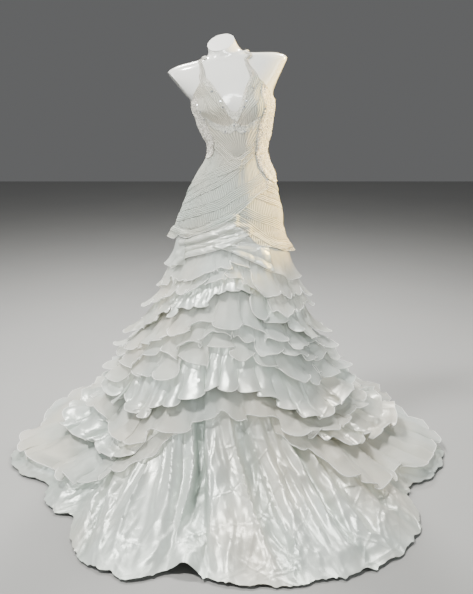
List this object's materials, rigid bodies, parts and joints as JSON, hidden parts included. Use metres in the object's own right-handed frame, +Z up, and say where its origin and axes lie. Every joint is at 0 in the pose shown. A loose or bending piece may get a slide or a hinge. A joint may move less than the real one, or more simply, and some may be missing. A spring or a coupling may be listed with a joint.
{
  "type": "wedding dress on a limbless dress form",
  "caption": "Halter-neck trumpet wedding dress with pleated bodice, crossed hip wraps, satin bands and ruffle tiers over a short train, worn by a limbless dress form on a round foot.",
  "frame": {"origin": "on the floor, under the middle of the bounding box", "axes": "+Z up, the dress's front faces -Y, +X is to the right as seen from the front (the wearer's left)"},
  "size_m": [1.789, 1.9114, 1.6631],
  "materials": {
    "satin": "ivory satin with a soft sheen",
    "organza": "thin white organza with a fine rolled edge",
    "pleated_tulle": "matte ivory tulle in fine pleats",
    "beaded_lace": "corded lace with small beads and clear crystals",
    "form_shell": "gloss white moulded shell",
    "form_metal": "brushed steel pole and round foot"
  },
  "bodies": {
    "root": {"skirt_front": "satin", "skirt_side_left": "satin", "skirt_side_right": "satin", "skirt_back_left": "satin", "skirt_back_right": "satin", "tier_01": "organza", "tier_02": "organza", "tier_03": "satin", "tier_04": "organza", "tier_05": "organza", "tier_06": "organza", "tier_07": "satin", "tier_08": "organza", "tier_09": "satin", "tier_10": "organza", "hip_flounce_left": "organza", "hip_flounce_right": "organza", "satin_band_upper": "satin", "satin_band_lower": "satin", "satin_band_right": "satin", "hip_wrap_left": "pleated_tulle", "hip_wrap_right": "pleated_tulle", "hip_side_right": "pleated_tulle", "hip_back_left": "pleated_tulle", "hip_back_right": "pleated_tulle", "midriff_front": "pleated_tulle", "cup_left": "pleated_tulle", "cup_right": "pleated_tulle", "back_left": "pleated_tulle", "back_right": "pleated_tulle", "waist_wrap_left": "pleated_tulle", "waist_wrap_right": "pleated_tulle", "strap_left": "pleated_tulle", "strap_right": "pleated_tulle", "side_panel_left": "beaded_lace", "side_panel_right": "beaded_lace", "form_torso": "form_shell", "form_pole": "form_metal", "form_base": "form_metal"}
  },
  "joints": []
}
